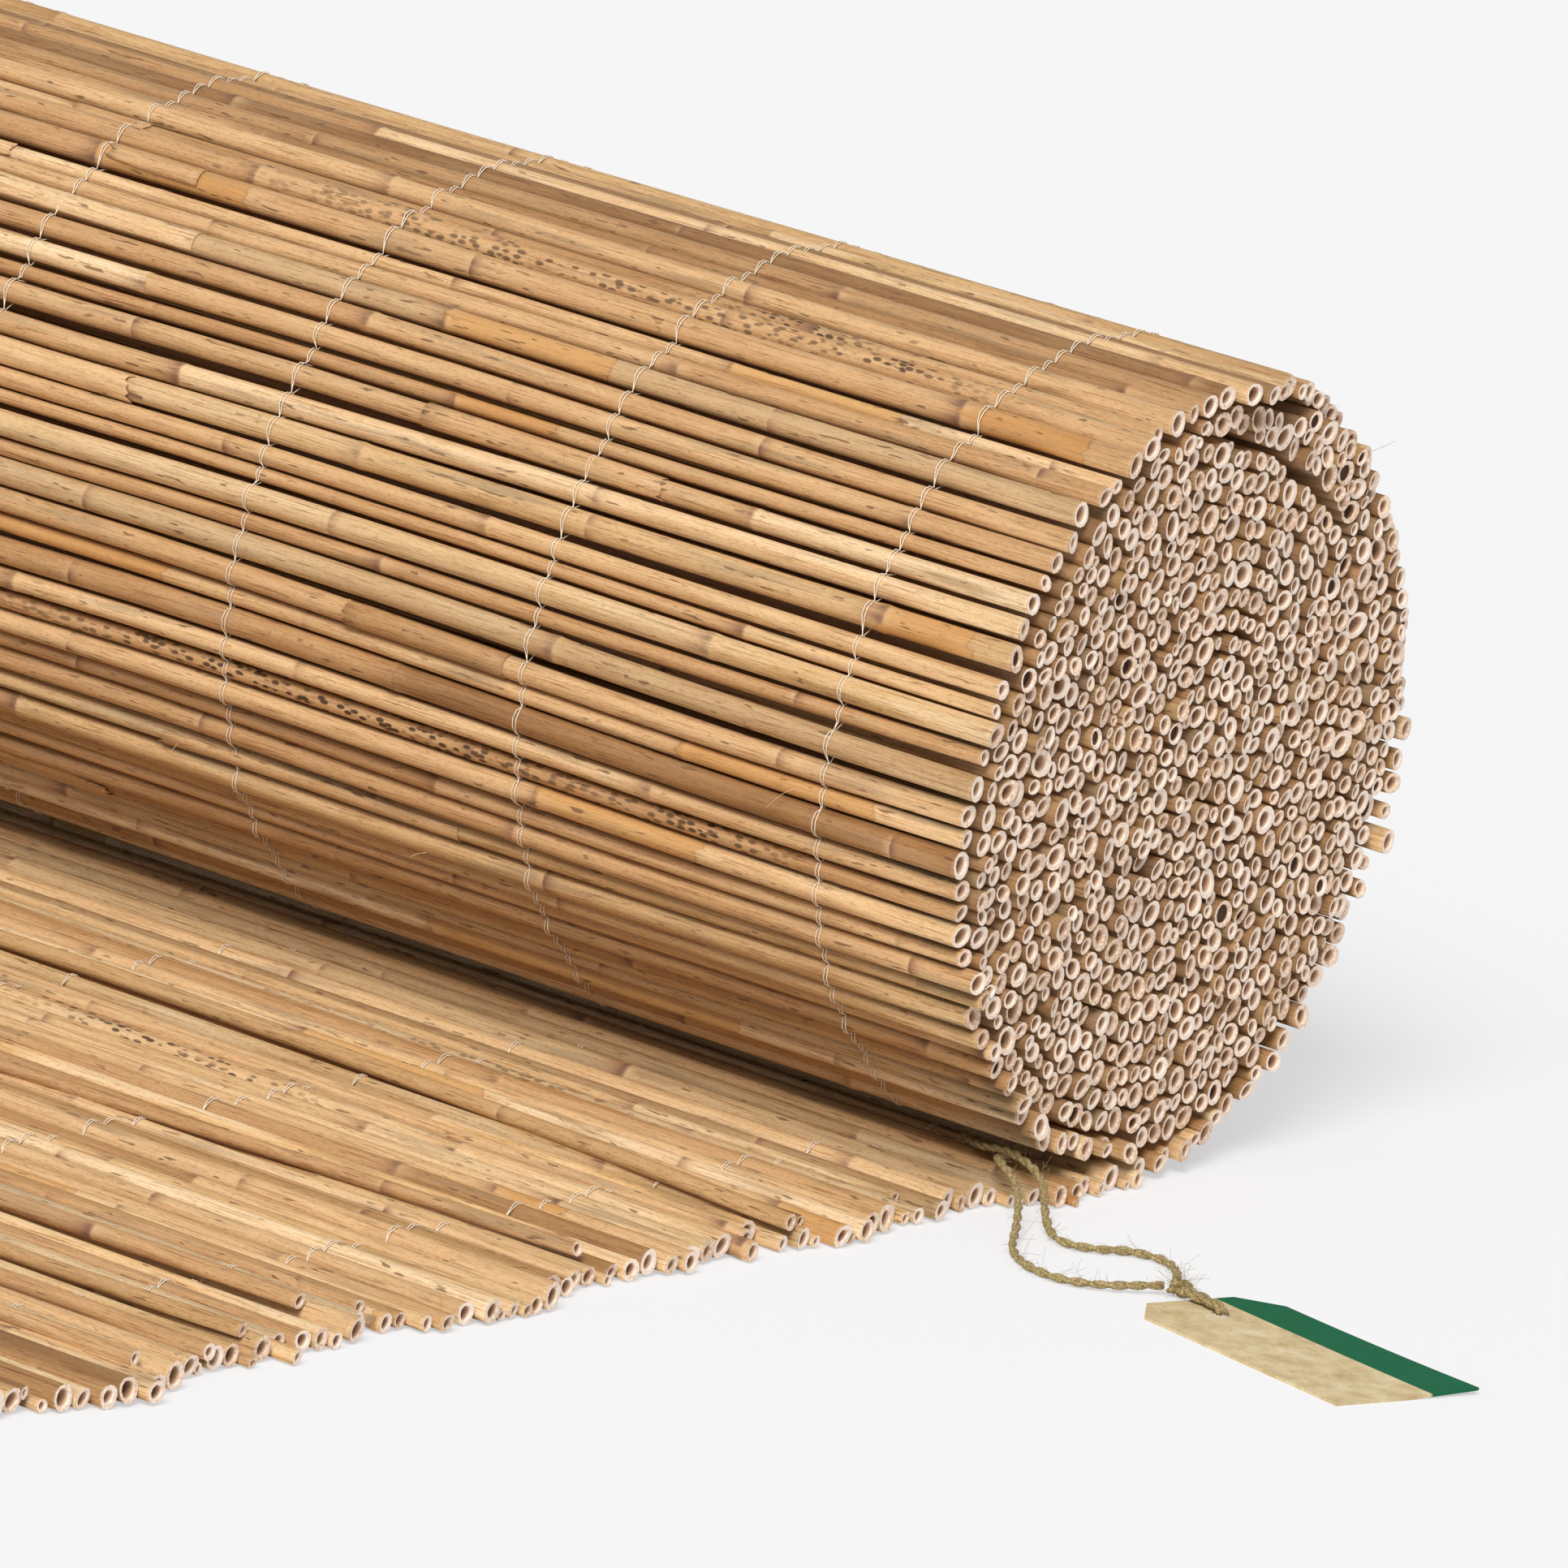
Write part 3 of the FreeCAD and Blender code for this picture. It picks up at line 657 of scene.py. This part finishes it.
def loose_sheath(name, reed, y, z, radius, out_y, out_z):
    """One shell on each reed that is named. It wraps 60 to 85 degrees to either side of a line
    along the reed, and its loose end is torn and lifts by up to 0.8 mm."""
    count = len(reed)
    t = np.linspace(0, 1, 9)
    run = draw.uniform(25, 110, (count, 1)) * MM * np.where(draw.random((count, 1)) < 0.5, 1, -1)
    x = draw.uniform(-380, 370, (count, 1)) * MM + run * t
    order = np.where(run[:, :1] > 0, np.arange(9), np.arange(9)[::-1])
    x, t = np.take_along_axis(x, order, 1), t[order]
    y, z, radius, out_y, out_z = (at(values[reed], x)[..., None] for values in (y, z, radius, out_y, out_z))
    width = np.radians(draw.uniform(60, 85, (count, 1))) * (1 - 0.25 * t ** 3)
    there_and_back = np.concatenate([np.linspace(-1, 1, 9), np.linspace(1, -1, 9)])
    turn = np.radians(draw.uniform(-15, 15, (count, 1, 1))) + width[..., None] * there_and_back
    torn = draw.uniform(-1, 1, (count, 1, 9)) * 1.6 * MM * np.clip(4 * t - 3, 0, 1)[..., None]
    torn = np.concatenate([torn, torn[..., ::-1]], -1)
    lift = 0.03 * MM + draw.uniform(0.1, 0.8, (count, 1)) * MM * t ** 5
    reach = radius + lift[..., None] + np.repeat([SHEATH_THICKNESS, 0], 9)
    across, up = reach * np.sin(turn), reach * np.cos(turn)
    points = np.stack([x[..., None] + torn, y + up * out_y - across * out_z,
                       z + up * out_z + across * out_y], -1)
    marks = {"tone": draw.uniform(0.3, 0.75, (count, 1, 1)), "seed": draw.random((count, 1, 1)),
             "node_mm": FAR_OFF, "sheath_mm": FAR_OFF, "specks": 0.0}
    made = rings_to_mesh(name, points, [reed_skin], [0] * 8, marks)
    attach(made, "root")
    return made


def loose_hairs(name, start, toward, length, radius, material):
    """Thin bent fibres: each a three-sided tube that leaves its start straight and curls off,
    by a length times (direction times t + bend times t squared)."""
    t = np.linspace(0, 1, 7)[:, None]
    bend = draw.normal(0, 0.35, (len(start), 1, 3))
    line = start[:, None] + length[:, None, None] * (toward[:, None] * t + bend * t ** 2)
    marks = {"tone": 0.9, "seed": 0.5, "node_mm": FAR_OFF, "sheath_mm": FAR_OFF, "specks": 0.0}
    rings = tube_rings(line, radius, 3, (0.31, 0.17, 0.93))
    made = rings_to_mesh(name, rings, [material], [0] * 6, marks)
    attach(made, "root")
    return made


# on the roll's left side and high on its right one, but not on its most specked stalk
side = np.degrees(turn_angle[:, MIDDLE])
plain = ((side > 205) & (side < 280)) | ((side > 292) & (side < 330)) | ((side > 120) & (side < 150))
on_side = draw.choice(np.flatnonzero(plain), 20, False)
loose_sheath("loose_sheath_on_roll", on_side, turn_y, turn_z, turn_radius,
             np.sin(turn_angle), -np.cos(turn_angle))
on_tail = draw.choice(np.arange(20, len(tail_y)), 24, False)
loose_sheath("loose_sheath_on_tail", on_tail, tail_y, tail_z, tail_radius, 0 * tail_y, 1 + 0 * tail_y)
fibres = 40
reed = draw.choice(on_side, fibres)
x = draw.uniform(-480, 480, (fibres, 1)) * MM
y, z, radius, angle = (at(values[reed], x)[:, 0] for values in (turn_y, turn_z, turn_radius, turn_angle))
away = np.column_stack([draw.normal(0, 1.2, fibres), np.sin(angle), -np.cos(angle)])
start = np.column_stack([x[:, 0], y, z]) + away * [[0, 1, 1]] * radius[:, None]
length = draw.uniform(5, 16, fibres) * MM
loose_hairs("loose_fibres_on_roll", start, 0.5 * away, length, 0.09 * MM, reed_skin)

# String of the hang tag. Two-ply twisted jute, 2.4 mm thick and limp, dull and hairy: two
# strands come from under the roll, lie over the mat's edge and on the floor, and end in a
# knot by the card.
STRING = 2.4 * MM
FRONT = ((480, -27, 7.3), (483, -41, 7.8), (490, -55, 12.2), (506, -67, 10.8),
         (517, -82, 4.2), (525, -97, 1.6), (537, -107, 1.5), (550, -108, 1.5),
         (560, -99, 1.8), (567.5, -87, 2.8))
REAR = ((462, -27, 7.3), (471, -37, 7.8), (487, -44, 12.2), (505, -53, 10.8),
        (515, -66, 4.2), (525, -76, 1.6), (535, -73, 1.5), (541, -62, 1.5),
        (552, -60, 1.5), (561, -69, 1.8), (567.5, -80.5, 2.8))
jute, tree, shader = new_material("jute_twine_fibre")
place = add_node(tree, "TexCoord").outputs["Object"]
fibre = add_node(tree, "TexNoise", {"Vector": place, "Scale": 1600.0, "Detail": 3.0})
brown = add_node(tree, "ValToRGB", {"Fac": fibre.outputs["Fac"]}, stops=(
    (0.3, paint("#75633E")), (0.5, paint("#9D8959")), (0.7, paint("#C7B486"))))
tree.links.new(brown.outputs[0], shader.inputs["Base Color"])
shader.inputs["Roughness"].default_value = 0.9
relief = add_node(tree, "Bump",
                  {"Strength": 0.8, "Distance": 0.3 * MM, "Height": fibre.outputs["Fac"]})
tree.links.new(relief.outputs[0], shader.inputs["Normal"])


def route_points(name, corners):
    """Points along the NURBS line that has these points, in mm, as its control points."""
    line = bpy.data.curves.new(name, "CURVE")
    line.dimensions = "3D"
    spline = line.splines.new("NURBS")
    spline.points.add(len(corners) - 1)
    for point, corner in zip(spline.points, corners):
        point.co = (*[c * MM for c in corner], 1)
    spline.order_u = 3
    spline.use_endpoint_u = True
    spline.resolution_u = 16
    holder = bpy.data.objects.new(name, line)
    bpy.context.scene.collection.objects.link(holder)
    bpy.context.view_layer.update()
    mesh = bpy.data.meshes.new_from_object(holder)
    points = np.empty(len(mesh.vertices) * 3)
    mesh.vertices.foreach_get("co", points)
    bpy.data.objects.remove(holder)
    return points.reshape(-1, 3)


def twisted_string(name, path, lay=11 * MM):
    """Two plies round a path. With d the string's thickness, each is a tube of radius 0.32 d
    whose middle turns round the path at 0.2 d, once in each lay length, thicker and thinner
    along it as spun jute is."""
    ahead = np.gradient(path, axis=0)
    ahead /= np.linalg.norm(ahead, axis=1, keepdims=True)
    first = np.cross(ahead, (0.05, 0.02, 1.0))
    first /= np.linalg.norm(first, axis=1, keepdims=True)
    second = np.cross(ahead, first)
    gone = np.concatenate([[0], np.cumsum(np.linalg.norm(np.diff(path, axis=0), axis=1))])
    plies = []
    for start in (0, np.pi):
        swing = 2 * np.pi * gone / lay + start
        middle = path + 0.2 * STRING * (np.cos(swing)[:, None] * first + np.sin(swing)[:, None] * second)
        plies.append(middle)
    uneven = 1 + 0.12 * np.sin(gone / (3.1 * MM)) * np.sin(gone / (7.7 * MM) + 1)
    rings = tube_rings(np.stack(plies), 0.32 * STRING * uneven[None, :, None, None], 8, (0.05, 0.02, 1.0))
    made = rings_to_mesh(name, rings, [jute], [0] * (len(path) - 1), {})
    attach(made, "root")
    return made


front_path, rear_path = route_points("front_route", FRONT), route_points("rear_route", REAR)
front_strand = twisted_string("jute_front_strand", front_path)
rear_strand = twisted_string("jute_rear_strand", rear_path)
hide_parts("string_front_strand")
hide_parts("string_rear_strand")

# Knot of the string. The two strands are tied in one overhand knot beside the card, and go
# on doubled through its hole.
EYELET = np.array([587, -88, 0]) * MM
TURNED = math.radians(-14)
card_x = np.array([math.cos(TURNED), math.sin(TURNED), 0])
card_y = np.array([-math.sin(TURNED), math.cos(TURNED), 0])
t = np.linspace(0, 2 * np.pi, 60)
tied = np.column_stack([np.sin(t) + 2 * np.sin(2 * t), np.cos(t) - 2 * np.cos(2 * t), -np.sin(3 * t)])
tied *= np.array([0.85, 0.85, 1.15]) * MM
knot_path = EYELET - 17 * MM * card_x + tied[:, :1] * card_x + tied[:, 1:2] * card_y
knot_path = knot_path + np.column_stack([0 * t, 0 * t, 2.7 * MM + tied[:, 2]])
knot = twisted_string("jute_knot", knot_path)
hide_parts("string_knot")
u = np.linspace(0, 1, 24)
for name, side in (("jute_loop_left", -1), ("jute_loop_right", 1)):
    into = EYELET + np.outer(-16 + 16.6 * u, card_x) * MM + np.outer(side * (1.3 - 0.5 * u), card_y) * MM
    into[:, 2] = np.interp(u, (0, 0.3, 0.86, 0.94, 1), (2.6, 2.6, 2.5, 2.0, 0.8)) * MM
    twisted_string(name, into)
hairs = 420
whole = np.vstack([front_path, rear_path, np.repeat(knot_path, 3, axis=0)])
start = whole[draw.integers(0, len(whole), hairs)] + draw.normal(0, 0.5, (hairs, 3)) * MM
toward = draw.normal(0, 0.7, (hairs, 3)) + (0, 0, 0.2)
length = draw.uniform(1.0, 5, hairs) * MM
fuzz = loose_hairs("jute_fuzz", start, toward, length, 0.04 * MM, jute)

# Hang tag. Kraft card 0.8 mm thick, die-cut with two clipped corners and a punched
# hole, with one plain green band printed along it. It is uncoated, so its pulp shows as matt
# clouds and small dark flecks. It lies flat on the floor.
CARD_LENGTH, CARD_HALF_WIDTH, CARD_THICKNESS = 84 * MM, 26 * MM, 0.8 * MM
HOLE_INSET, HOLE_RADIUS, CORNER_CLIP = 12 * MM, 2.5 * MM, 10 * MM
BAND_FROM = 9 * MM
kraft, tree, shader = new_material("kraft_card_uncoated")
sheet_place = add_node(tree, "UVMap", uv_map="card_mm").outputs[0]
pulp = add_node(tree, "TexNoise",
                {"Vector": sheet_place, "Scale": 90.0, "Detail": 6.0, "Roughness": 0.7})
flecks = add_node(tree, "TexNoise", {"Vector": sheet_place, "Scale": 420.0, "Detail": 2.0})
board = add_node(tree, "ValToRGB", {"Fac": pulp.outputs["Fac"]}, stops=(
    (0.34, paint("#BFA677")), (0.52, paint("#D6C298")), (0.7, paint("#E6D8B4"))))
fleck = add_node(tree, "MapRange", {"Value": flecks.outputs["Fac"], 1: 0.66, 2: 0.72, 4: 0.5})
board = add_node(tree, "Mix", {
    "Factor": fleck.outputs[0], 6: board.outputs[0], 7: paint("#A08A62")}, **BLEND)
axes = add_node(tree, "SeparateXYZ", {0: sheet_place})
inked = add_node(tree, "Math", {0: axes.outputs["Y"], 1: BAND_FROM}, operation="GREATER_THAN")
ink = add_node(tree, "Mix", {
    "Factor": pulp.outputs["Fac"], 6: paint("#0F5C3C"), 7: paint("#176C49")}, **BLEND)
face = add_node(tree, "Mix", {
    "Factor": inked.outputs[0], 6: board.outputs[2], 7: ink.outputs[2]}, **BLEND)
tree.links.new(face.outputs[2], shader.inputs["Base Color"])
shader.inputs["Roughness"].default_value = 0.8
shader.inputs["Specular IOR Level"].default_value = 0.25
# a groove pressed round the hole, 6 mm from its middle
from_hole = add_node(tree, "VectorMath", {0: sheet_place}, operation="LENGTH")
from_hole = add_node(tree, "MapRange", {"Value": from_hole.outputs["Value"], 2: 10 * MM})
pressed = add_node(tree, "ValToRGB", {"Fac": from_hole.outputs[0]}, stops=(
    (0.56, WHITE), (0.59, (0, 0, 0, 1)), (0.61, (0, 0, 0, 1)), (0.64, WHITE)))
height = add_node(tree, "Math", {0: pressed.outputs[0], 1: pulp.outputs["Fac"]})
relief = add_node(tree, "Bump",
                  {"Strength": 0.4, "Distance": 0.2 * MM, "Height": height.outputs[0]})
tree.links.new(relief.outputs[0], shader.inputs["Normal"])
# Rings round the hole: each ray goes from the hole's edge to the nearest side of the outline
# and back underneath, and the far corner curls up by 1.2 mm.
card_end, tip = CARD_LENGTH - HOLE_INSET, -HOLE_INSET
clipped, narrow = tip + CORNER_CLIP, CARD_HALF_WIDTH - CORNER_CLIP
corners = np.array([(clipped, -CARD_HALF_WIDTH), (card_end, -CARD_HALF_WIDTH), (card_end, CARD_HALF_WIDTH),
                    (clipped, CARD_HALF_WIDTH), (tip, narrow), (tip, -narrow)])
corner_angles = np.arctan2(corners[:, 1], corners[:, 0])
around = np.sort(np.concatenate([np.linspace(-np.pi, np.pi, 72, endpoint=False), corner_angles]))
rays = np.column_stack([np.cos(around), np.sin(around)])
edges = np.roll(corners, -1, axis=0) - corners
outward = np.column_stack([edges[:, 1], -edges[:, 0]])
with np.errstate(divide="ignore"):
    reach = (corners * outward).sum(1) / (rays @ outward.T)
reach = np.where(reach > 0, reach, np.inf).min(1)
steps = np.concatenate([[0], np.linspace(0, 1, 9), [1], [1], np.linspace(1, 0, 9), [0]])
levels = np.concatenate([[0.5], np.full(9, 1.0), [0.5], [0.0], np.full(9, 0.0), [0.5]])
spread = HOLE_RADIUS + (reach - HOLE_RADIUS) * steps[:, None]
flat_points = spread[..., None] * rays
curl = (1.2 * MM * np.clip(flat_points[..., 0] / card_end, 0, 1) ** 2
        * np.clip(flat_points[..., 1] / CARD_HALF_WIDTH, 0, 1))
height = CARD_THICKNESS * levels[:, None] + curl
card_points = EYELET + flat_points[..., :1] * card_x + flat_points[..., 1:] * card_y
card_points[..., 2] = height
card = rings_to_mesh("kraft_card", card_points[None, ::-1], [kraft], [0] * (len(steps) - 1), {},
                     ring_flat=[True] * (len(steps) - 1), caps=False)
map_layer = card.data.uv_layers.new(name="card_mm")
corner_of = np.empty(len(card.data.loops), int)
card.data.loops.foreach_get("vertex_index", corner_of)
map_layer.data.foreach_set("uv", flat_points[::-1].reshape(-1, 2)[corner_of].astype(np.float32).ravel())
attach(card, "root")
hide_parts("hang_tag")

# Floor and light. A pale plain floor that goes on to the horizon, a broad soft lamp above
# and in front on the left, and an even pale surround.
FLOOR_HALF = 30
floor_paint, tree, shader = new_material("studio_floor_pale")
shader.inputs["Base Color"].default_value = paint("#F4F4F5")
shader.inputs["Roughness"].default_value = 0.9
seen = add_node(tree, "LightPath")
lit = add_node(tree, "Emission", {"Color": paint("#F9F9FA"), "Strength": 1.0})
share = add_node(tree, "Math", {0: seen.outputs["Is Camera Ray"], 1: 0.56},
                 operation="MULTIPLY")
both = add_node(tree, "MixShader", {0: share.outputs[0], 1: shader.outputs[0], 2: lit.outputs[0]})
tree.links.new(both.outputs[0], tree.nodes["Material Output"].inputs["Surface"])
floor_mesh = bpy.data.meshes.new("studio_floor")
square = ((-1, -1), (1, -1), (1, 1), (-1, 1))
floor_mesh.from_pydata([(FLOOR_HALF * x, FLOOR_HALF * y, 0) for x, y in square], [], [(0, 1, 2, 3)])
floor_mesh.materials.append(floor_paint)
floor = bpy.data.objects.new("studio_floor", floor_mesh)
bpy.context.scene.collection.objects.link(floor)
surround = bpy.data.worlds.new("pale_surround")
surround.use_nodes = True
bpy.context.scene.world = surround
tree = surround.node_tree
seen = add_node(tree, "LightPath")
sky = tree.nodes["Background"]
sky.inputs["Color"].default_value = paint("#FFFFFF")
sky.inputs["Strength"].default_value = 0.42
view = add_node(tree, "Background", {"Color": paint("#F6F6F7"), "Strength": 1.0})
both = add_node(tree, "MixShader",
                {0: seen.outputs["Is Camera Ray"], 1: sky.outputs[0], 2: view.outputs[0]})
tree.links.new(both.outputs[0], tree.nodes["World Output"].inputs["Surface"])
lamp = bpy.data.lights.new("softbox", "SUN")
lamp.angle = math.radians(28)
lamp.energy = 2.6
softbox = bpy.data.objects.new("softbox", lamp)
softbox.rotation_euler = Vector((0.24, -0.68, 0.70)).to_track_quat("Z", "Y").to_euler()
bpy.context.scene.collection.objects.link(softbox)

# Camera. A long lens 3.6 m away, 31 degrees to the side of the roll's end and 12 above the
# floor, tilted 10 degrees. The pixel it points at is off the middle of the square frame.
FRAME, FOCAL = 1932, 16387
AIM_PIXEL = (1483.13, 949.12)
AIM = np.array([0.5, 0, 0.118])
DISTANCE = 3.6
azimuth, elevation, tilt = (math.radians(a) for a in (30.7028, 12.3456, 10.2057))
away = np.array([math.sin(azimuth) * math.cos(elevation), -math.cos(azimuth) * math.cos(elevation),
                 math.sin(elevation)])
level = np.cross(-away, (0, 0, 1))
level /= np.linalg.norm(level)
upright = np.cross(level, -away)
right = math.cos(tilt) * level + math.sin(tilt) * upright
top = -math.sin(tilt) * level + math.cos(tilt) * upright
look = -away + right * (FRAME / 2 - AIM_PIXEL[0]) / FOCAL - top * (FRAME / 2 - AIM_PIXEL[1]) / FOCAL
look /= np.linalg.norm(look)
right = np.cross(look, top)
right /= np.linalg.norm(right)
top = np.cross(right, look)
lens = bpy.data.cameras.new("camera")
lens.sensor_width = 36
lens.lens = lens.sensor_width * FOCAL / FRAME
lens.clip_start, lens.clip_end = 0.05, 200
camera = bpy.data.objects.new("camera", lens)
matrix = np.eye(4)
matrix[:3, 0], matrix[:3, 1], matrix[:3, 2] = right, top, -look
matrix[:3, 3] = AIM + DISTANCE * away
camera.matrix_world = Matrix([list(row) for row in matrix])
bpy.context.scene.collection.objects.link(camera)
bpy.context.scene.camera = camera
bpy.context.scene.view_settings.view_transform = "Standard"
